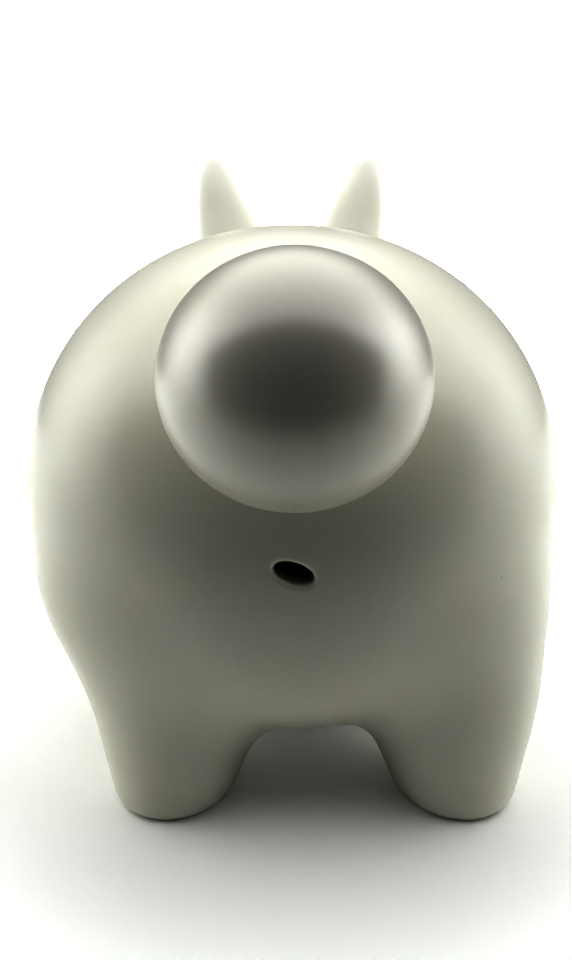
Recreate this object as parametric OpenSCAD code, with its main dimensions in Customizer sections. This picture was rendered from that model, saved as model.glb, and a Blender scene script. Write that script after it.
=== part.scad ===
// Figural animal coin bank: a slip-cast, glazed rabbit that stands on four stub legs.
// Millimetres. +Z is up, the animal faces -Y, and the origin is on the table below its middle.

/* [Body] */
// Half width of the barrel-shaped body
body_half_w = 56; // [52:0.5:60]
// Half length of the body without head and tail
body_half_l = 61; // [57:0.5:65]
// Half height of the body before the belly is flattened
body_half_h = 54; // [50:0.5:57]
// Height of the body's middle above the table
body_mid_z = 59; // [57:0.5:62]
// Place of the body's middle along its length
body_mid_y = 7; // [5:0.5:9]
// Height at which the belly is flattened
belly_z = 6; // [5:0.5:7]
// Thickness of the cast wall
wall = 5; // [4:0.25:6]

/* [Legs] */
// Radius of a leg just above the table
foot_r = 11.5; // [10:0.25:13]
// Half distance between the left and right feet
foot_half_gap = 28.5; // [26:0.5:31]
// Distance of the rear feet behind the origin
rear_foot_y = 41; // [39:0.5:43]
// Distance of the front feet ahead of the origin
front_foot_y = 31; // [28:0.5:34]
// Radius of a haunch where it grows out of the body
haunch_r = 24; // [22:0.5:26]
// Sideways set of the feet, which leans a little to the animal's right
foot_lean = 4.5; // [0:0.5:6]

/* [Head] */
// Half width of the head
head_half_w = 37; // [33:0.5:40]
// Height of the head's middle
head_z = 70; // [66:0.5:76]
// Distance of the head's middle ahead of the origin
head_y = 56; // [54:0.5:58]
// Radius of an eye bead
eye_r = 4; // [3:0.1:5]

/* [Ears] */
// Half width of an ear at its widest
ear_half_w = 10.8; // [9:0.1:12]
// Half length of an ear, root included
ear_half_l = 30.5; // [26:0.5:34]
// Outward lean of an ear in degrees
ear_lean = 12; // [6:1:16]
// How much an ear narrows from its middle to its tip, as a share of its width
ear_taper = 0.25; // [0:0.05:0.35]

/* [Tail] */
// Radius of the ball tail
tail_r = 19.6; // [18:0.1:22]
// Height of the ball tail, which is a little flatter than it is wide
tail_half_h = 18.6; // [17:0.1:21]
// Height of the tail's middle above the table
tail_z = 84.5; // [80:0.5:88]
// Distance of the tail's middle behind the origin
tail_y = 70; // [67:0.5:72]

/* [Openings] */
// Length of the coin slot along the back
slot_l = 34; // [30:0.5:38]
// Width of the coin slot
slot_w = 4.6; // [4.4:0.1:5]
// Place of the slot's middle ahead of the origin
slot_y = 12; // [10:0.5:16]
// Width of the oval vent under the tail
vent_w = 6.6; // [5:0.1:8]
// Height of the oval vent
vent_h = 3.4; // [2.5:0.1:4.5]
// Height of the vent above the table
vent_z = 55; // [50:0.5:58]
// Tilt of the vent's long axis in degrees
vent_tilt = 20; // [0:1:30]
// Diameter of the plug hole in the belly
plug_hole_d = 26; // [24:0.5:28]
// Diameter of the flat recess around the plug hole
seat_d = 36; // [34:0.5:38]

/* [Stopper] */
// Gap all round between the stopper and its hole
plug_gap = 0.06; // [0.03:0.01:0.1]
// Depth that the stopper reaches into its hole
plug_depth = 8.5; // [7:0.5:9]
// Thickness of the stopper's flange
flange_t = 1.6; // [1.2:0.1:1.8]

/* [Hidden] */
glaze = "ivory";
rubber = "dimgray";

body_mid = [0, body_mid_y, body_mid_z];
body_half = [body_half_w, body_half_l, body_half_h];
body_round = [2.05, 2.3];
belly_blend = 22;
haunch_top = [25, 34, 40.5];
shoulder_top = [24, -25, 40];
shoulder_r = 22;
foot_mid_z = 2.5;
foot_edge = 4;
leg_split = 4;
leg_blend = 7;
lean_top = body_mid_z - 6;
lean_run = 38;
head_mid = [0, -head_y, head_z];
head_half = [head_half_w, 30, 35];
head_blend = 18;
muzzle_mid = [7, -head_y - 21, head_z - 12];
muzzle_half = [12, 11.5, 10];
muzzle_blend = 8;
nose_mid = [0, -head_y - 30, head_z - 5.5];
nose_r = 3.6;
eye_mid = [18.5, -head_y - 23.5, head_z + 8];

ear_mid = [16.9, -head_y, 112];
ear_half_t = 5.2;
ear_round = 2.3;
ear_scoop_depth = 1.8;
ear_scoop_rim = 3.2;
ear_scoop_drop = 2;
tail_wall = 4;
tail_vent_d = 5;
cut_h = 40;

seat_z = 12.8;
grip_bar = 3.5;
plug_wall = 2.2;
plug_r = plug_hole_d / 2 - plug_gap;
plug_top = seat_z + plug_depth;
flange_r = seat_d / 2 - 1.5;
flange_low = seat_z - flange_t;
sunk = 0.5;

// Grids that the skins are meshed on
outer_step = 5.7;
outer_low = [-body_half_w - 6.3, -head_y - 41, -4.2];
outer_high = [body_half_w + 6.3, body_mid_y + 69, body_mid_z + 61];
cavity_step = 8;
cavity_low = [-body_half_w, -head_y - 36, 3];
cavity_high = [body_half_w, body_mid_y + 63, body_mid_z + 56];

// ---- Distance-like fields: negative inside, zero on the skin ----

function soft_min(a, b, k) = min(a, b) - pow(max(k - abs(a - b), 0), 2) / (4 * k);
function soft_max(a, b, k) = -soft_min(-a, -b, k);
function mirror_x(p) = [abs(p.x), p.y, p.z];
function smooth_step(t) = let (u = min(max(t, 0), 1)) u * u * (3 - 2 * u);

// An egg whose cross-section has exponent n[0] and whose length has exponent n[1].
function egg(p, mid, half, n) =
    let (q = p - mid,
         u = [abs(q.x / half.x), abs(q.y / half.y), abs(q.z / half.z)],
         ring = pow(u.x, n[0]) + pow(u.z, n[0]),
         s = pow(pow(ring, n[1] / n[0]) + pow(u.y, n[1]), 1 / n[1]))
    norm(q) * (1 - 1 / max(s, 0.001));

// A leg: two spheres of different radius with the cone that touches both.
function taper(p, a, b, ra, rb) =
    let (ba = b - a, pa = p - a,
         l2 = ba * ba, dr = ra - rb, a2 = l2 - dr * dr,
         y = pa * ba, z = y - l2,
         x = pa * l2 - ba * y, x2 = x * x,
         k = sign(dr) * dr * dr * x2,
         y2 = y * y * l2, z2 = z * z * l2)
    sign(z) * a2 * z2 > k ? sqrt(x2 + z2) / l2 - rb
    : sign(y) * a2 * y2 < k ? sqrt(x2 + y2) / l2 - ra
    : (sqrt(x2 * a2 / l2) + y * dr) / l2 - ra;

// The feet are set sideways, more and more from the body's middle down to the table.
function lean_back(p) =
    mirror_x(p + [foot_lean * smooth_step((lean_top - p.z) / lean_run), 0, 0]);

function legs(p) =
    let (q = lean_back(p))
    p.y > leg_split
    ? taper(q, haunch_top, [foot_half_gap, rear_foot_y, foot_mid_z], haunch_r, foot_r)
    : taper(q, shoulder_top, [foot_half_gap, -front_foot_y, foot_mid_z], shoulder_r, foot_r);

function barrel(p) =
    soft_max(egg(p, body_mid, body_half, body_round), belly_z - p.z, belly_blend);

function head(p) =
    let (skull = egg(p, head_mid, head_half, [2, 2]))
    soft_min(skull, egg(mirror_x(p), muzzle_mid, muzzle_half, [2, 2]), muzzle_blend);

function outer_skin(p) =
    let (trunk = soft_min(barrel(p), legs(p), leg_blend))
    soft_max(soft_min(trunk, head(p), head_blend), -sunk - p.z, foot_edge);

// The legs are narrow enough to cast solid, so the cavity follows the barrel and the head only.
function cavity_skin(p) = soft_min(barrel(p), head(p), head_blend) + wall;

// ---- A closed mesh of a field's zero surface: one vertex per grid cell that it crosses ----

function corner(v, c, d) = v[c.x + d.x][c.y + d.y][c.z + d.z];
CORNERS = [for (x = [0, 1], y = [0, 1], z = [0, 1]) [x, y, z]];
EDGES = [for (a = CORNERS, b = CORNERS) if (norm(b - a) == 1 && a * [4, 2, 1] < b * [4, 2, 1]) [a, b]];

function crossings(v, c) =
    [for (e = EDGES)
        let (va = corner(v, c, e[0]), vb = corner(v, c, e[1]))
        if ((va < 0) != (vb < 0)) e[0] + (e[1] - e[0]) * va / (va - vb)];

function total(list) = [for (p = list) 1] * list;

function slope(f, p, s) =
    [f(p + [s, 0, 0]) - f(p - [s, 0, 0]),
     f(p + [0, s, 0]) - f(p - [0, s, 0]),
     f(p + [0, 0, s]) - f(p - [0, 0, s])] / (2 * s);

function onto_skin(f, p, turns) =
    turns == 0 ? p
    : let (g = slope(f, p, 0.2)) onto_skin(f, p - g * f(p) / max(g * g, 0.2), turns - 1);

// A vertex stays inside its own cell, clear of the cell's walls, so that no face folds over.
function kept_in(p, corner, step) =
    [for (a = [0:2]) min(max(p[a], corner[a] + 0.1 * step), corner[a] + 0.9 * step)];

module skin_mesh(f, lo, hi, step) {
    n = [for (i = [0:2]) ceil((hi[i] - lo[i]) / step)];
    v = [for (i = [0:n.x]) [for (j = [0:n.y]) [for (k = [0:n.z]) f(lo + step * [i, j, k])]]];
    rows = [for (i = [0:n.x - 1], j = [0:n.y - 1])
        [for (k = [0:n.z - 1]) if (len(crossings(v, [i, j, k])) > 0) k]];
    starts = [for (r = 0, s = 0; r < len(rows); s = s + len(rows[r]), r = r + 1) s];
    points = [for (i = [0:n.x - 1], j = [0:n.y - 1], k = rows[i * n.y + j])
        let (c = crossings(v, [i, j, k]),
             mid = [for (a = [0:2]) total([for (p = c) p[a]]) / len(c)],
             cell = lo + step * [i, j, k])
        kept_in(onto_skin(f, cell + step * mid, 2), cell, step)];
    function vertex(c) = starts[c.x * n.y + c.y] + search(c.z, rows[c.x * n.y + c.y])[0];
    UNIT = [[1, 0, 0], [0, 1, 0], [0, 0, 1]];
    quads = [for (a = [0:2], i = [1 - UNIT[a].x:n.x - 1], j = [1 - UNIT[a].y:n.y - 1],
                  k = [1 - UNIT[a].z:n.z - 1])
        let (c = [i, j, k], u = UNIT[(a + 1) % 3], w = UNIT[(a + 2) % 3],
             here = v[i][j][k] < 0, next = corner(v, c, UNIT[a]) < 0)
        if (here != next)
            let (q = [vertex(c - u - w), vertex(c - w), vertex(c), vertex(c - u)])
            here ? [q[3], q[2], q[1], q[0]] : q];
    faces = [for (q = quads)
        let (short = norm(points[q[0]] - points[q[2]]) < norm(points[q[1]] - points[q[3]]))
        each short
            ? [[q[0], q[1], q[2]], [q[0], q[2], q[3]]]
            : [[q[1], q[2], q[3]], [q[1], q[3], q[0]]]];
    polyhedron(points, faces);
}

// ---- Sub-parts ----

module outer_form() {
    f = function(p) outer_skin(p);
    skin_mesh(f, outer_low, outer_high, outer_step);
}

module cavity_form() {
    f = function(p) cavity_skin(p);
    skin_mesh(f, cavity_low, cavity_high, cavity_step);
}

module coin_slot() {
    straight = slot_l - slot_w;
    translate([0, -slot_y, body_mid_z + 31]) {
        for (end = [-1, 1])
            translate([0, end * straight / 2, 0])
                cylinder(h = cut_h, d = slot_w, $fn = 48);
        translate([-slot_w / 2, -straight / 2, 0])
            cube([slot_w, straight, cut_h]);
    }
}

module vent() {
    translate([0, body_mid_y + 33, vent_z])
        rotate([-90, 0, 0])
            rotate([0, 0, -vent_tilt])
                linear_extrude(cut_h)
                    polygon([for (t = [0:10:350]) [vent_w / 2 * cos(t), vent_h / 2 * sin(t)]]);
}

// Air leaves the tail through this hole while the bank is fired.
module tail_vent() {
    translate([0, body_mid_y + 38, tail_z])
        rotate([-90, 0, 0])
            cylinder(h = cut_h, d = tail_vent_d, $fn = 48);
}

module plug_hole() {
    cylinder(h = cut_h, d = plug_hole_d, $fn = 96);
    cylinder(h = seat_z, d = seat_d, $fn = 96);
}

module below_table() {
    translate([-1.5 * body_half_w, outer_low.y, -cut_h])
        cube([3 * body_half_w, outer_high.y - outer_low.y, cut_h]);
}

module body_shell() {
    color(glaze)
        difference() {
            outer_form();
            cavity_form();
            coin_slot();
            vent();
            tail_vent();
            plug_hole();
            below_table();
        }
}

function half_oval(r, h) = [for (t = [-90:7.5:90]) [r * cos(t), h * sin(t)]];

module tail_ball() {
    color(glaze)
        difference() {
            translate([0, tail_y, tail_z])
                rotate_extrude($fn = 96)
                    polygon(half_oval(tail_r, tail_half_h));
            translate([0, tail_y, tail_z])
                rotate_extrude($fn = 96)
                    polygon(half_oval(tail_r - tail_wall, tail_half_h - tail_wall));
            outer_form();
        }
}

// An upright leaf with rounded edges, made of stacked rings; grow < 0 makes the scoop's cutter.
module ear_leaf(grow) {
    half = [ear_half_w + grow, ear_half_t, ear_half_l + grow];
    function rim(t) = pow(max(1 - pow(abs(sin(t)), ear_round), 0), 1 / ear_round);
    ts = [for (t = [-80:10:80]) t];
    sides = 24;
    points = [each [for (t = ts, s = [0:sides - 1])
                  [half.x * rim(t) * (1 - ear_taper * sin(t)) * cos(s * 360 / sides),
                   half.y * rim(t) * sin(s * 360 / sides),
                   half.z * sin(t)]],
              [0, 0, -half.z], [0, 0, half.z]];
    n = len(ts);
    faces = [for (r = [0:n - 2], s = [0:sides - 1])
                let (a = r * sides + s, b = r * sides + (s + 1) % sides)
                each [[a, a + sides, b + sides], [a, b + sides, b]],
             for (s = [0:sides - 1]) [s, (s + 1) % sides, n * sides],
             for (s = [0:sides - 1])
                [(n - 1) * sides + (s + 1) % sides, (n - 1) * sides + s, n * sides + 1]];
    polyhedron(points, faces);
}

module ear(side) {
    color(glaze)
        difference() {
            translate([side * ear_mid.x, ear_mid.y, ear_mid.z])
                rotate([0, side * ear_lean, 0])
                    difference() {
                        ear_leaf(0);
                        translate([0, -ear_half_t - ear_scoop_depth, -ear_scoop_drop])
                            ear_leaf(-ear_scoop_rim);
                    }
            outer_form();
        }
}

module left_ear() ear(1);
module right_ear() ear(-1);

// A ball of clay that is pressed and luted onto the head: only its cap stands proud.
module bead(mid, r) {
    color(glaze)
        difference() {
            translate(mid)
                sphere(r = r, $fn = 48);
            outer_form();
        }
}

module left_eye() bead(eye_mid, eye_r);
module right_eye() bead([-eye_mid.x, eye_mid.y, eye_mid.z], eye_r);
module nose_bead() bead(nose_mid, nose_r);

module belly_stopper() {
    color(rubber)
        difference() {
            rotate_extrude($fn = 96)
                polygon([[0, flange_low], [flange_r - 0.5, flange_low], [flange_r, flange_low + 0.5],
                         [flange_r, seat_z], [plug_r, seat_z], [plug_r, plug_top - 1],
                         [plug_r - 1, plug_top], [0, plug_top]]);
            for (side = [-1, 1])
                intersection() {
                    translate([0, 0, flange_low - 1])
                        cylinder(h = plug_top - plug_wall - flange_low + 1,
                                 r = plug_r - plug_wall, $fn = 96);
                    translate([side * (grip_bar + seat_d) / 2 - seat_d / 2, -seat_d / 2, 0])
                        cube(seat_d);
                }
        }
}

body_shell();
left_ear();
right_ear();
left_eye();
right_eye();
nose_bead();
tail_ball();
belly_stopper();
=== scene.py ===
"""A glazed ceramic rabbit coin bank, seen from behind on a pale table.

Every ceramic piece is a closed skin around a field that is negative inside: eggs and tapered legs,
blended as slip-cast clay is. The sizes are millimetres and repeat the CAD model's driving dimensions,
but for the ears: they are 0.1 mm shorter at each end, so that their fine tips stay inside the CAD box.
"""
import math

import bpy
import numpy as np
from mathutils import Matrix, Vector


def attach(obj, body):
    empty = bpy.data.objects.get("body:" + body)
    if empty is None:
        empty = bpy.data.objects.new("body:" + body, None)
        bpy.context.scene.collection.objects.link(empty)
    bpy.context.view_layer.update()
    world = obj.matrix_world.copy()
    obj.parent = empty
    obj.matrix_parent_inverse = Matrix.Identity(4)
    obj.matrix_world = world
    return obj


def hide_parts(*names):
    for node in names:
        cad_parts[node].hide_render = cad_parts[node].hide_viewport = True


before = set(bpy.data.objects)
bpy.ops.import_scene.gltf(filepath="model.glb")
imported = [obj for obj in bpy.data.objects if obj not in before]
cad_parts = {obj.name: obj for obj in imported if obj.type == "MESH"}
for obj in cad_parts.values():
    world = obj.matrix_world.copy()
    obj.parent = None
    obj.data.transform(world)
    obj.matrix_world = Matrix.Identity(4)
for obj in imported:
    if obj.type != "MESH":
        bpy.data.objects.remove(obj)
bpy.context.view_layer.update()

MM = 0.001

# ---- Driving dimensions in millimetres ----

BODY_MID = (0, 7, 59)
BODY_HALF = (56, 61, 54)
BODY_ROUND = (2.05, 2.3)
BELLY_Z = 6
BELLY_BLEND = 22
WALL = 5

FOOT_R = 11.5
FOOT_X = 28.5
FOOT_MID_Z = 2.5
FOOT_EDGE = 4
REAR_LEG = ((25, 34, 40.5), (FOOT_X, 41, FOOT_MID_Z), 24)
FRONT_LEG = ((24, -25, 40), (FOOT_X, -31, FOOT_MID_Z), 22)
LEG_BLEND = 7
LEAN = 4.5
LEAN_TOP = BODY_MID[2] - 6
LEAN_RUN = 38
SUNK = 0.5

HEAD_MID = (0, -56, 70)
HEAD_HALF = (37, 30, 35)
HEAD_BLEND = 18
MUZZLE_MID = (7, HEAD_MID[1] - 21, HEAD_MID[2] - 12)
MUZZLE_HALF = (12, 11.5, 10)
MUZZLE_BLEND = 8
NOSE_MID = (0, HEAD_MID[1] - 30, HEAD_MID[2] - 5.5)
NOSE_R = 3.6
EYE_MID = (18.5, HEAD_MID[1] - 23.5, HEAD_MID[2] + 8)
EYE_R = 4
MOUTH_R = 4.5
MOUTH_Z = NOSE_MID[2] - 9
MOUTH_CUT_Y = -70
GROOVE_HALF = 0.35

EAR_MID = (16.9, HEAD_MID[1], 112)
EAR_HALF = (10.8, 5.2, 30.4)
EAR_LEAN = math.radians(12)
EAR_TAPER = 0.25
EAR_ROUND = 2.3
EAR_SCOOP = (3.2, 7.0, 2.0)

TAIL_MID = (0, 70, 84.5)
TAIL_HALF = (19.6, 19.6, 18.6)
TAIL_WALL = 4

SLOT_MID_Y = -12
SLOT_L = 34
SLOT_W = 4.6
SLOT_CUT_Z = BODY_MID[2] + 20
SLOT_ROUND = 1.4
VENT_MID_Z = 55
VENT_HALF = (3.3, 1.7)
VENT_TILT = math.radians(20)
VENT_CUT_Y = 30
TAIL_VENT_R = 2.5
TAIL_VENT_CUT_Y = 40
RIM_ROUND = 0.9

SEAT_Z = 12.8
SEAT_R = 18
HOLE_R = 13
HOLE_CUT_Z = 40
PLUG_R = HOLE_R - 0.06
PLUG_DEPTH = 8.5
FLANGE_R = SEAT_R - 1.5
FLANGE_T = 1.6
GRIP_BAR = 3.5
PLUG_WALL = 2.2


# ---- Glaze: tints, the ears' lighter one holding painted light and the tail's darker one painted shade, and the weight, roughness and IOR of the clear layer on top ----

IVORY = (0.87, 0.865, 0.79)
# The ears' tint is lighter than the shell's: painted light, standing in for the backlight that shines
# through the thin ears.
EAR_IVORY_PAINTED_BACKLIGHT = (0.95, 0.945, 0.89)
# The tail's tint is darker than the shell's: painted shade, deepening the tail's dark heart.
TAIL_IVORY_PAINTED_SHADE = (0.8, 0.79, 0.72)
SATIN = (0.35, 0.22, 1.5)
GLOSSY = (1.0, 0.31, 2.1)


# ---- Light and camera: distances in metres, levels relative to white paper, the rest as named ----

CARD_HALF = 0.33
CARD_TOP = 0.25
CARD_Y = 0.195
SIDE_LIGHT = 0.88
HEADWARD_LIGHT = 0.1
LOW_SHARE = 0.8
CEILING_LIGHT = 0.52
EXPOSURE_STOPS = 1.62
CONTRAST = 2.5
FADE_START = 0.07
FADE_END = 0.22
TABLE_HALF = 6.0
CAMERA_SPOT_MM = (1.2, 176, 92)
CAMERA_DOWN = math.radians(11.6)
LENS_MM = 27.75
FRAME_MM = 36


# ---- Fields: negative inside, zero on the skin, points as rows of x, y, z ----

def soft_min(a, b, k):
    return np.minimum(a, b) - np.maximum(k - np.abs(a - b), 0) ** 2 / (4 * k)


def soft_max(a, b, k):
    return -soft_min(-a, -b, k)


def mirror_x(p):
    return np.column_stack([np.abs(p[:, 0]), p[:, 1], p[:, 2]])


def egg(p, mid, half, power=(2, 2)):
    """An egg: power[0] rounds its x-z section and power[1] its length along y."""
    q = p - np.array(mid)
    u = np.abs(q / np.array(half))
    ring = u[:, 0] ** power[0] + u[:, 2] ** power[0]
    size = (ring ** (power[1] / power[0]) + u[:, 1] ** power[1]) ** (1 / power[1])
    return np.linalg.norm(q, axis=1) * (1 - 1 / np.maximum(size, 1e-3))


def taper(p, top, foot, top_r, foot_r):
    """Two spheres with the cone that touches both."""
    top = np.array(top, float)
    axis = np.array(foot, float) - top
    l2 = axis @ axis
    dr = top_r - foot_r
    a2 = l2 - dr * dr
    rel = p - top
    y = rel @ axis
    z = y - l2
    x2 = ((rel * l2 - y[:, None] * axis) ** 2).sum(1)
    k = np.sign(dr) * dr * dr * x2
    past_foot = np.sign(z) * a2 * z * z * l2 > k
    past_top = np.sign(y) * a2 * y * y * l2 < k
    cone = (np.sqrt(x2 * a2 / l2) + y * dr) / l2 - top_r
    d = np.where(past_top, np.sqrt(x2 + y * y * l2) / l2 - top_r, cone)
    return np.where(past_foot, np.sqrt(x2 + z * z * l2) / l2 - foot_r, d)


def legs(p):
    t = np.clip((LEAN_TOP - p[:, 2]) / LEAN_RUN, 0, 1)
    shift = LEAN * t * t * (3 - 2 * t)
    q = mirror_x(p + np.column_stack([shift, 0 * shift, 0 * shift]))
    rear, front = (taper(q, top, foot, r, FOOT_R) for top, foot, r in (REAR_LEG, FRONT_LEG))
    return np.minimum(rear, front)


def barrel(p):
    return soft_max(egg(p, BODY_MID, BODY_HALF, BODY_ROUND), BELLY_Z - p[:, 2], BELLY_BLEND)


def head(p):
    muzzle = egg(mirror_x(p), MUZZLE_MID, MUZZLE_HALF)
    return soft_min(egg(p, HEAD_MID, HEAD_HALF), muzzle, MUZZLE_BLEND)


def skin(p):
    trunk = soft_min(barrel(p), legs(p), LEG_BLEND)
    return soft_max(soft_min(trunk, head(p), HEAD_BLEND), -SUNK - p[:, 2], FOOT_EDGE)


def cavity(p):
    """The hollow follows the barrel and the head: the legs are narrow enough to cast solid."""
    return soft_min(barrel(p), head(p), HEAD_BLEND) + WALL


def slot(p):
    along = np.maximum(np.abs(p[:, 1] - SLOT_MID_Y) - (SLOT_L - SLOT_W) / 2, 0)
    return np.maximum(np.hypot(p[:, 0], along) - SLOT_W / 2, SLOT_CUT_Z - p[:, 2])


def vent(p):
    """An oval hole through the rump, its left end higher than its right."""
    c, s = math.cos(VENT_TILT), math.sin(VENT_TILT)
    x, z = p[:, 0], p[:, 2] - VENT_MID_Z
    u, v = (c * x + s * z) / VENT_HALF[0], (c * z - s * x) / VENT_HALF[1]
    size = np.hypot(u, v)
    steep = np.hypot(u / VENT_HALF[0], v / VENT_HALF[1])
    return np.maximum(size * (size - 1) / np.maximum(steep, 1e-6), VENT_CUT_Y - p[:, 1])


def tail_vent(p):
    tube = np.hypot(p[:, 0], p[:, 2] - TAIL_MID[2]) - TAIL_VENT_R
    return np.maximum(tube, TAIL_VENT_CUT_Y - p[:, 1])


def plug_hole(p):
    r = np.hypot(p[:, 0], p[:, 1])
    hole = np.maximum(r - HOLE_R, p[:, 2] - HOLE_CUT_Z)
    return np.minimum(hole, np.maximum(r - SEAT_R, p[:, 2] - SEAT_Z))


def mouth(p):
    """Two shallow arcs under the nose and the short line that joins them to it."""
    x, z = np.abs(p[:, 0]), p[:, 2] - MOUTH_Z
    ends = np.minimum(x, np.abs(x - 2 * MOUTH_R)) + z
    arc = np.where(z < 0, np.abs(np.hypot(x - MOUTH_R, z) - MOUTH_R), ends)
    line = np.hypot(x, np.maximum(np.abs(z - 3) - 3, 0))
    groove = np.minimum(arc, line) - GROOVE_HALF
    return np.maximum(groove, p[:, 1] - MOUTH_CUT_Y)


def shell(p):
    solid = soft_max(skin(p), -mouth(p), 0.8)
    solid = np.maximum(solid, -cavity(p))
    solid = soft_max(solid, -slot(p), SLOT_ROUND)
    for hole in (vent, tail_vent, plug_hole):
        solid = soft_max(solid, -hole(p), RIM_ROUND)
    return soft_max(solid, -p[:, 2], 0.5)


def ear_leaf(p, grow, shift_y, shift_z):
    """An upright leaf in the ear's own axes, narrower towards its tip."""
    hx, hy, hz = EAR_HALF[0] + grow, EAR_HALF[1], EAR_HALF[2] + grow
    x, y, z = p[:, 0], p[:, 1] + shift_y, p[:, 2] + shift_z
    x = x / (1 - EAR_TAPER * np.clip(z / hz, -1, 1))
    return egg(np.column_stack([x, z, y]), (0, 0, 0), (hx, hz, hy), (2, EAR_ROUND))


def luted(part, p, fillet, reach):
    """A part pressed onto the skin, with the small fillet of slip that seals it."""
    sealed = soft_min(part, skin(p) + 0.06, fillet)
    return np.maximum(np.maximum(sealed, part - reach), -skin(p) - 0.35)


def ear(side):
    def field(p):
        q = p - np.array([side * EAR_MID[0], EAR_MID[1], EAR_MID[2]])
        c, s = math.cos(EAR_LEAN), math.sin(EAR_LEAN)
        u = side * q[:, 0]
        q = np.column_stack([c * u - s * q[:, 2], q[:, 1], s * u + c * q[:, 2]])
        grow, y, z = EAR_SCOOP
        leaf = soft_max(ear_leaf(q, 0, 0, 0), -ear_leaf(q, -grow, y, z), 2)
        return luted(leaf, p, 3, 2.5)
    return field


def tail(p):
    ball = egg(p, TAIL_MID, TAIL_HALF)
    hollow = egg(p, TAIL_MID, [h - TAIL_WALL for h in TAIL_HALF])
    return np.maximum(luted(ball, p, 1.6, 1.4), -hollow)


def bead(mid, r):
    def field(p):
        return luted(np.linalg.norm(p - np.array(mid), axis=1) - r, p, 1, 0.9)
    return field


def stopper(p):
    """A moulded cup with a flange, open below, and a bar across the opening to pull it by."""
    r, z = np.hypot(p[:, 0], p[:, 1]), p[:, 2]
    top = SEAT_Z + PLUG_DEPTH
    plug = soft_max(r - PLUG_R, soft_max(z - top, SEAT_Z - 1 - z, 0.5), 1.6)
    flange = soft_max(r - FLANGE_R, soft_max(z - SEAT_Z, SEAT_Z - FLANGE_T - z, 0.6), 0.9)
    cup = soft_max(r - PLUG_R + PLUG_WALL, z - top + PLUG_WALL, 1.5)
    ribs = np.abs(p[:, 0]) - GRIP_BAR / 2
    cup = soft_max(cup, -ribs, 0.9)
    return soft_max(np.minimum(plug, flange), -cup, 0.7)


# ---- Closed meshes of those fields ----

def slope(field, p, reach=0.02):
    steps = reach * np.eye(3)
    return np.column_stack([field(p + s) - field(p - s) for s in steps]) / (2 * reach)


def unit(v):
    return v / np.maximum(np.linalg.norm(v, axis=1), 1e-9)[:, None]


def onto_skin(field, p, limit, turns=3):
    for _ in range(turns):
        g = slope(field, p)
        move = -g * (field(p) / np.maximum((g * g).sum(1), 0.3))[:, None]
        far = np.maximum(np.linalg.norm(move, axis=1) / limit, 1)
        p = p + move / far[:, None]
    return p


def grid_skin(field, low, high, step):
    """One point in each grid cell that the skin crosses, and the quads between them."""
    low = np.array(low, float)
    n = np.ceil((np.array(high) - low) / step).astype(int) + 1
    axes = [low[i] + step * np.arange(n[i]) for i in range(3)]
    grid = np.stack(np.meshgrid(*axes, indexing="ij"), -1).reshape(-1, 3)
    value = field(grid).reshape(n)
    inside = value < 0
    corners = [(a, b, c) for a in (0, 1) for b in (0, 1) for c in (0, 1)]
    count = np.zeros(n - 1, int)
    for a, b, c in corners:
        count += inside[a:n[0] - 1 + a, b:n[1] - 1 + b, c:n[2] - 1 + c]
    crossed = (count > 0) & (count < 8)
    cells = np.argwhere(crossed)
    index = np.full(crossed.shape, -1)
    index[crossed] = np.arange(len(cells))
    total, hits = np.zeros((len(cells), 3)), np.zeros(len(cells))
    for a in corners:
        for b in corners:
            if sum(abs(i - j) for i, j in zip(a, b)) != 1 or a > b:
                continue
            va, vb = (value[tuple((cells + c).T)] for c in (a, b))
            cut = (va < 0) != (vb < 0)
            t = np.where(cut, va / np.where(cut, va - vb, 1), 0)
            total += cut[:, None] * (np.array(a) + t[:, None] * (np.array(b) - np.array(a)))
            hits += cut
    corner = low + step * cells
    points = onto_skin(field, corner + step * total / hits[:, None], step / 2)
    points = np.clip(points, corner + 0.04 * step, corner + 0.96 * step)
    units = np.eye(3, dtype=int)
    quads = []
    for axis in range(3):
        u, w = units[(axis + 1) % 3], units[(axis + 2) % 3]
        here = np.take(inside, range(n[axis] - 1), axis)
        there = np.take(inside, range(1, n[axis]), axis)
        edge = np.argwhere(here != there)
        ring = np.column_stack([index[tuple((edge - c).T)] for c in (u + w, w, 0 * u, u)])
        outward = here[tuple(edge.T)]
        quads.append(np.where(outward[:, None], ring, ring[:, ::-1]))
    return points, np.concatenate(quads)


def split_quads(points, quads):
    """Each quad becomes two triangles along its shorter diagonal."""
    a, b, c, d = (points[quads[:, i]] for i in range(4))
    short = np.linalg.norm(a - c, axis=1) < np.linalg.norm(b - d, axis=1)
    one = np.where(short[:, None], quads[:, [0, 1, 2]], quads[:, [1, 2, 3]])
    two = np.where(short[:, None], quads[:, [0, 2, 3]], quads[:, [1, 3, 0]])
    return np.concatenate([one, two])


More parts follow.
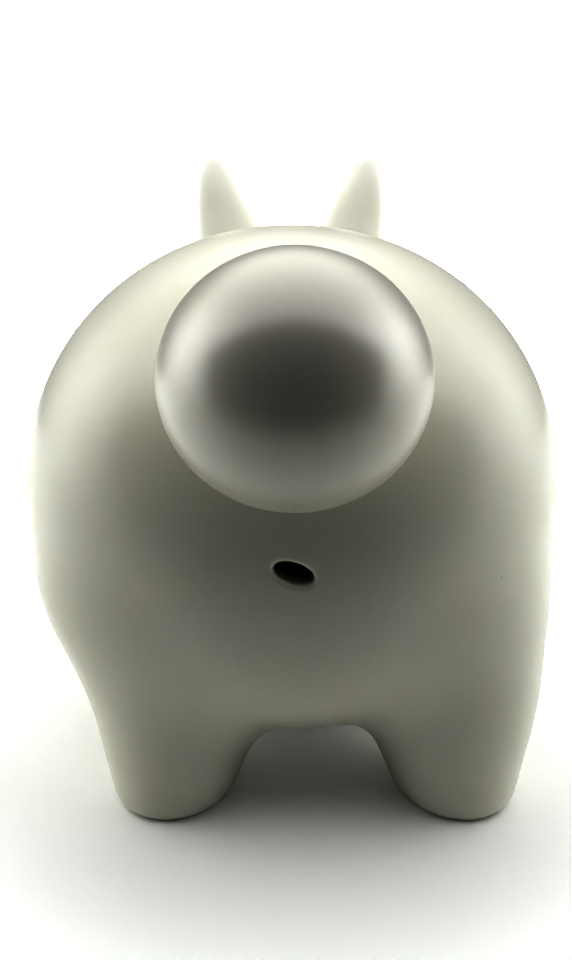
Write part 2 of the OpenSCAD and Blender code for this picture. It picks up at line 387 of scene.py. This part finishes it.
def refine(field, points, tris, turn, shortest):
    """Splits each edge along which the skin turns by more than an angle, and puts the new points on it."""
    sides = np.concatenate([tris[:, [0, 1]], tris[:, [1, 2]], tris[:, [2, 0]]])
    pairs, which = np.unique(np.sort(sides, axis=1), axis=0, return_inverse=True)
    normal = unit(slope(field, points))
    a, b = pairs.T
    length = np.linalg.norm(points[a] - points[b], axis=1)
    split = (length > shortest) & ((normal[a] * normal[b]).sum(1) < math.cos(math.radians(turn)))
    middle = (points[a[split]] + points[b[split]]) / 2
    middle = onto_skin(field, middle, length[split].max(initial=1) / 4)
    number = np.full(len(pairs), -1)
    number[split] = len(points) + np.arange(split.sum())
    cut = number[which.ravel()].reshape(3, -1).T
    first = np.zeros(len(tris), int)
    count = (cut >= 0).sum(1)
    first[count == 1] = np.argmax(cut[count == 1] >= 0, axis=1)
    first[count == 2] = (np.argmax(cut[count == 2] < 0, axis=1) + 1) % 3
    turned = (first[:, None] + np.arange(3)) % 3
    (a, b, c), (ab, bc, ca) = (np.take_along_axis(t, turned, 1).T for t in (tris, cut))
    parts = {
        0: [(a, b, c)],
        1: [(a, ab, c), (ab, b, c)],
        2: [(ab, b, bc), (a, ab, bc), (a, bc, c)],
        3: [(a, ab, ca), (ab, b, bc), (ca, bc, c), (ab, bc, ca)],
    }
    new = [np.column_stack(t)[count == k] for k, group in parts.items() for t in group]
    return np.concatenate([points, middle]), np.concatenate(new)


def bend(field, points, reach=1.2):
    """How sharply the skin bends: above zero on an edge, below zero in a crease."""
    around = np.zeros(len(points))
    for axis in reach * np.eye(3):
        ahead, behind = (unit(slope(field, points + s, 0.3)) for s in (axis, -axis))
        around += ((ahead - behind) @ (axis / reach)) / (2 * reach)
    return around


def make_piece(name, field, low, high, step, materials, bare=None, rounds=2, turn=12):
    """A closed piece around a field, with exact normals and its bend as an attribute."""
    points, quads = grid_skin(field, low, high, step)
    tris = split_quads(points, quads)
    for _ in range(rounds):
        points, tris = refine(field, points, tris, turn, step / 4)
    mesh = bpy.data.meshes.new(name)
    mesh.from_pydata((points * MM).tolist(), [], tris.tolist())
    for material in materials:
        mesh.materials.append(material)
    if bare:
        centre = points[tris].mean(axis=1)
        mesh.polygons.foreach_set("material_index", bare(centre).astype(np.int32))
    mesh.polygons.foreach_set("use_smooth", np.ones(len(tris), bool))
    mesh.normals_split_custom_set_from_vertices(unit(slope(field, points)).tolist())
    mesh.attributes.new("bend", "FLOAT", "POINT").data.foreach_set("value", bend(field, points))
    piece = bpy.data.objects.new(name, mesh)
    bpy.context.scene.collection.objects.link(piece)
    return piece


# ---- Materials ----

class Graph:
    """A few short ways to add and join shader nodes."""

    def __init__(self, tree):
        self.tree = tree
        tree.nodes.clear()

    def add(self, kind, sockets=None, **settings):
        node = self.tree.nodes.new("ShaderNode" + kind)
        for name, value in settings.items():
            setattr(node, name, value)
        for name, value in (sockets or {}).items():
            self.feed(node.inputs[name], value)
        return node

    def feed(self, socket, value):
        if isinstance(value, bpy.types.NodeSocket):
            self.tree.links.new(value, socket)
        else:
            socket.default_value = value

    def math(self, operation, a, b=0.0):
        return self.add("Math", {0: a, 1: b}, operation=operation).outputs[0]

    def ramp(self, value, low, high, start=0.0, end=1.0):
        names = {"Value": value, "From Min": low, "From Max": high, "To Min": start, "To Max": end}
        return self.add("MapRange", names, interpolation_type="SMOOTHSTEP").outputs[0]

    def blend(self, factor, a, b):
        node = self.add("Mix", data_type="RGBA")
        for socket, value in zip((node.inputs[0], node.inputs[6], node.inputs[7]), (factor, a, b)):
            self.feed(socket, value)
        return node.outputs[2]

    def noise(self, where, size_mm, detail=2.0, roughness=0.5):
        names = {"Vector": where, "Scale": 1 / (size_mm * MM), "Detail": detail, "Roughness": roughness}
        return self.add("TexNoise", names).outputs["Fac"]

    def bump(self, height, depth_mm):
        sockets = {"Height": height, "Distance": depth_mm * MM, "Strength": 1.0}
        return self.add("Bump", sockets).outputs[0]


def colour(r, g, b):
    return (r, g, b, 1.0)


def new_material(name):
    material = bpy.data.materials.new("fired_" + name)
    material.use_nodes = True
    graph = Graph(material.node_tree)
    where = graph.add("TexCoord").outputs["Object"]
    shader = graph.add("BsdfPrincipled")
    out = graph.add("OutputMaterial")
    graph.tree.links.new(shader.outputs[0], out.inputs["Surface"])
    return material, graph, where, shader


def set_shader(graph, shader, **sockets):
    for name, value in sockets.items():
        graph.feed(shader.inputs[name.replace("_", " ")], value)


def specks(graph, where, spacing_mm, size, share):
    """Small round spots, one in some of the cells of a loose grid."""
    cell = graph.add("TexVoronoi", {"Vector": where, "Scale": 1 / (spacing_mm * MM)})
    near = graph.ramp(cell.outputs["Distance"], size, size * 0.45)
    pick = graph.add("SeparateColor", {0: cell.outputs["Color"]}).outputs[0]
    return graph.math("MULTIPLY", near, graph.math("LESS_THAN", pick, share))


def glaze(name, tint, gloss=SATIN):
    """Ivory glaze: thin and warm on sharp edges, darker and greyer in creases as painted shade, with rare
    specks and pinholes.
    """
    material, graph, where, shader = new_material(name)
    edge = graph.add("Attribute", attribute_name="bend").outputs["Fac"]
    cloud = graph.noise(where, 38, 2)
    patch = graph.noise(where, 11, 3, 0.5)
    base = graph.blend(graph.ramp(cloud, 0.3, 0.7), colour(*tint), colour(*(t * 0.985 for t in tint)))
    warm = colour(tint[0] * 0.985, tint[1] * 0.97, tint[2] * 0.93)
    base = graph.blend(graph.ramp(patch, 0.4, 0.75, 0, 0.4), base, warm)
    thin = graph.math("MULTIPLY", graph.ramp(edge, 0.5, 1.6), graph.ramp(patch, 0.3, 0.6, 0.2, 0.5))
    base = graph.blend(thin, base, colour(0.7, 0.62, 0.5))
    # Creases get a darker, greyer colour by their bend: painted shade.
    painted_crease_shade = graph.ramp(edge, -0.1, -0.6, 0, 0.4)
    base = graph.blend(painted_crease_shade, base, colour(0.76, 0.77, 0.72))
    dust = specks(graph, where, 9, 0.035, 0.3)
    base = graph.blend(graph.math("MULTIPLY", dust, 0.6), base, colour(0.25, 0.21, 0.16))
    pinholes = specks(graph, where, 11, 0.03, 0.4)
    peel = graph.noise(where, 2.2, 2)
    wave = graph.noise(where, 24, 1)
    height = graph.math("ADD", graph.math("MULTIPLY", peel, 0.05), wave)
    height = graph.math("SUBTRACT", height, graph.math("MULTIPLY", pinholes, 0.4))
    bump = graph.bump(height, 0.1)
    rough = graph.ramp(patch, 0.3, 0.75, 0.3, 0.37)
    weight, coat_rough, coat_ior = gloss
    set_shader(graph, shader, Base_Color=base, Roughness=rough, IOR=1.52, Normal=bump)
    set_shader(graph, shader, Coat_Weight=weight, Coat_Roughness=coat_rough, Coat_IOR=coat_ior)
    set_shader(graph, shader, Coat_Normal=bump)
    set_shader(graph, shader, Subsurface_Weight=0.1, Subsurface_Scale=1.5 * MM)
    shader.inputs["Subsurface Radius"].default_value = (1.0, 0.8, 0.6)
    return material


def bare_clay():
    """The fired clay that the glaze was wiped off, or never reached."""
    material, graph, where, shader = new_material("bare_clay")
    grain = graph.noise(where, 0.5, 3, 0.7)
    cloud = graph.noise(where, 12, 3)
    base = graph.blend(graph.ramp(cloud, 0.35, 0.7), colour(0.7, 0.64, 0.54), colour(0.62, 0.56, 0.46))
    base = graph.blend(specks(graph, where, 2.2, 0.12, 0.25), base, colour(0.42, 0.34, 0.26))
    set_shader(graph, shader, Base_Color=base, Normal=graph.bump(grain, 0.12), IOR=1.45)
    set_shader(graph, shader, Roughness=graph.ramp(grain, 0.3, 0.7, 0.78, 0.92))
    return material


def rubber():
    """Matte grey rubber with the fine grain of its mould and pale bloom in patches."""
    material, graph, where, shader = new_material("moulded_rubber")
    grain = graph.noise(where, 0.35, 2)
    bloom = graph.noise(where, 6, 4, 0.6)
    base = graph.blend(graph.ramp(bloom, 0.45, 0.75), colour(0.028, 0.028, 0.03), colour(0.06, 0.06, 0.058))
    set_shader(graph, shader, Base_Color=base, Normal=graph.bump(grain, 0.05), IOR=1.5)
    set_shader(graph, shader, Roughness=graph.ramp(bloom, 0.3, 0.7, 0.5, 0.68))
    return material


# ---- Pieces ----

def raise_bank():
    clay = bare_clay()
    shell_glaze = glaze("shell_glaze", IVORY)
    # A lighter copy of the shell glaze for the ears: painted backlight.
    ear_glaze = glaze("ear_glaze", EAR_IVORY_PAINTED_BACKLIGHT)
    bead_glaze = glaze("bead_glaze", IVORY)
    # A darker, glossier copy of the shell glaze for the tail ball: the darker tint is painted shade.
    tail_glaze = glaze("tail_glaze", TAIL_IVORY_PAINTED_SHADE, GLOSSY)

    def unglazed(p):
        return (skin(p) < -1.6) | (p[:, 2] < 0.25)

    half_w, reach_y, top = BODY_HALF[0] + 4, BODY_MID[1] + 88, BODY_MID[2] + BODY_HALF[2] + 2
    shell_piece = make_piece(
        "glazed_shell", shell, (-half_w, -reach_y, -2), (half_w, reach_y, top), 1.3,
        (shell_glaze, clay), unglazed,
    )
    tail_low = [TAIL_MID[i] - TAIL_HALF[i] - 3 for i in range(3)]
    tail_high = [TAIL_MID[i] + TAIL_HALF[i] + 2 for i in range(3)]
    made = {
        "body_shell": (shell_piece, "shell_glaze"),
        "tail_ball": (
            make_piece("glazed_tail", tail, tail_low, tail_high, 0.8, (tail_glaze, clay), inside_tail),
            "tail_glaze",
        ),
    }
    for name, side in (("left_ear", 1), ("right_ear", -1)):
        x = side * EAR_MID[0]
        low = (x - 20, EAR_MID[1] - 8, EAR_MID[2] - EAR_HALF[2] - 2)
        high = (x + 20, EAR_MID[1] + 8, EAR_MID[2] + EAR_HALF[2] + 2)
        piece = make_piece("glazed_" + name, ear(side), low, high, 0.7, (ear_glaze,))
        made[name] = (piece, "ear_glaze")
    beads = {
        "left_eye": (EYE_MID, EYE_R),
        "right_eye": ((-EYE_MID[0], EYE_MID[1], EYE_MID[2]), EYE_R),
        "nose_bead": (NOSE_MID, NOSE_R),
    }
    for name, (mid, r) in beads.items():
        low, high = ([m + sign * (r + 2) for m in mid] for sign in (-1, 1))
        piece = make_piece("glazed_" + name, bead(mid, r), low, high, 0.4, (bead_glaze,))
        made[name] = (piece, "bead_glaze")
    for node, (piece, slot_name) in made.items():
        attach(piece, "bank")
        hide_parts(node)


def inside_tail(p):
    return egg(p, TAIL_MID, [h - TAIL_WALL + 0.3 for h in TAIL_HALF]) < 0


def fit_stopper():
    reach = FLANGE_R + 2
    piece = make_piece(
        "rubber_stopper", stopper, (-reach, -reach, SEAT_Z - 4),
        (reach, reach, SEAT_Z + PLUG_DEPTH + 2), 0.5, (rubber(),),
    )
    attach(piece, "stopper")
    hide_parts("belly_stopper")


# ---- Table, light and camera ----

def white_where_seen(graph, share, shader):
    """Mixes a shader, for the camera's own rays only, with plain white paper."""
    seen = graph.math("MULTIPLY", share, graph.add("LightPath").outputs["Is Camera Ray"])
    paper = graph.add("Emission", {"Color": colour(1, 1, 1), "Strength": 1.0}).outputs[0]
    return graph.add("MixShader", {0: seen, 1: shader, 2: paper}).outputs[0]


def lay_table():
    """White paper that lies under the bank and runs out into an even white background."""
    material, graph, where, shader = new_material("white_paper")
    cloud = graph.noise(where, 60, 3)
    base = graph.blend(cloud, colour(0.95, 0.96, 0.95), colour(0.98, 0.985, 0.98))
    set_shader(graph, shader, Base_Color=base, Roughness=0.6)
    shader.inputs["Specular IOR Level"].default_value = 0.2
    radius = graph.add("VectorMath", {0: where}, operation="LENGTH").outputs["Value"]
    far = graph.ramp(radius, FADE_START, FADE_END, 0.03, 1.0)
    out = graph.tree.nodes["Material Output"]
    graph.feed(out.inputs["Surface"], white_where_seen(graph, far, shader.outputs[0]))
    mesh = bpy.data.meshes.new("table")
    corners = [(x * TABLE_HALF, y * TABLE_HALF, 0) for x, y in ((-1, -1), (1, -1), (1, 1), (-1, 1))]
    mesh.from_pydata(corners, [], [(0, 1, 2, 3)])
    mesh.materials.append(material)
    stage_piece("table", mesh)


def stage_piece(name, mesh):
    piece = bpy.data.objects.new(name, mesh)
    bpy.context.scene.collection.objects.link(piece)
    return piece


def hang_black_card():
    """What stands close behind the tail and keeps light off it: its reflection is the tail's dark heart."""
    material, graph, where, shader = new_material("black_card")
    weave = graph.noise(where, 2, 2)
    base = graph.blend(weave, colour(0.008, 0.008, 0.008), colour(0.012, 0.012, 0.012))
    set_shader(graph, shader, Base_Color=base, Roughness=1.0)
    shader.inputs["Specular IOR Level"].default_value = 0.0
    corners = [(x * CARD_HALF, CARD_Y, z) for x, z in ((-1, 0), (1, 0), (1, CARD_TOP), (-1, CARD_TOP))]
    mesh = bpy.data.meshes.new("black_card")
    mesh.from_pydata(corners, [], [(0, 1, 2, 3)])
    mesh.materials.append(material)
    card = stage_piece("black_card", mesh)
    card.visible_camera = False


def light_studio():
    """Soft white panels on both sides, dimmer behind, a grey ceiling, and a dark room past the tail."""
    world = bpy.data.worlds.new("studio")
    bpy.context.scene.world = world
    world.use_nodes = True
    graph = Graph(world.node_tree)
    toward = graph.add("TexCoord").outputs["Generated"]
    x, y, z = graph.add("SeparateXYZ", {0: toward}).outputs
    flat = graph.math("SQRT", graph.math("ADD", graph.math("MULTIPLY", x, x), graph.math("MULTIPLY", y, y)))
    tailward = graph.math("DIVIDE", y, graph.math("MAXIMUM", flat, 1e-4))
    panels = graph.ramp(tailward, -0.85, -0.2, HEADWARD_LIGHT, SIDE_LIGHT)
    panels = graph.math("MULTIPLY", panels, graph.ramp(z, 0.0, 0.4, LOW_SHARE, 1.0))
    ceiling = graph.ramp(z, 0.45, 0.85)
    level = graph.math("MULTIPLY", panels, graph.math("SUBTRACT", 1.0, ceiling))
    level = graph.math("ADD", level, graph.math("MULTIPLY", ceiling, CEILING_LIGHT))
    dark = graph.math("MULTIPLY", graph.ramp(tailward, 0.12, 0.38), graph.ramp(z, 0.6, 0.33))
    level = graph.math("MULTIPLY", level, graph.math("SUBTRACT", 1.0, graph.math("MULTIPLY", dark, 0.985)))
    light = graph.add("Background", {"Color": level, "Strength": 1.0})
    graph.add("OutputWorld")
    out = graph.tree.nodes["World Output"]
    graph.feed(out.inputs["Surface"], white_where_seen(graph, 1.0, light.outputs[0]))


def set_camera():
    scene = bpy.context.scene
    data = bpy.data.cameras.new("photographer")
    data.sensor_fit = "VERTICAL"
    data.sensor_height = FRAME_MM
    data.lens = LENS_MM
    data.clip_start = 0.01
    camera = bpy.data.objects.new("photographer", data)
    camera.location = Vector(CAMERA_SPOT_MM) * MM
    camera.rotation_euler = (math.pi / 2 - CAMERA_DOWN, 0, math.pi)
    scene.collection.objects.link(camera)
    scene.camera = camera


def set_tones():
    """A hard, bright print: white paper at the top of the range and steep shadows."""
    view = bpy.context.scene.view_settings
    view.view_transform = "Standard"
    view.exposure = EXPOSURE_STOPS
    view.gamma = 1 / CONTRAST


raise_bank()
fit_stopper()
lay_table()
hang_black_card()
light_studio()
set_camera()
set_tones()
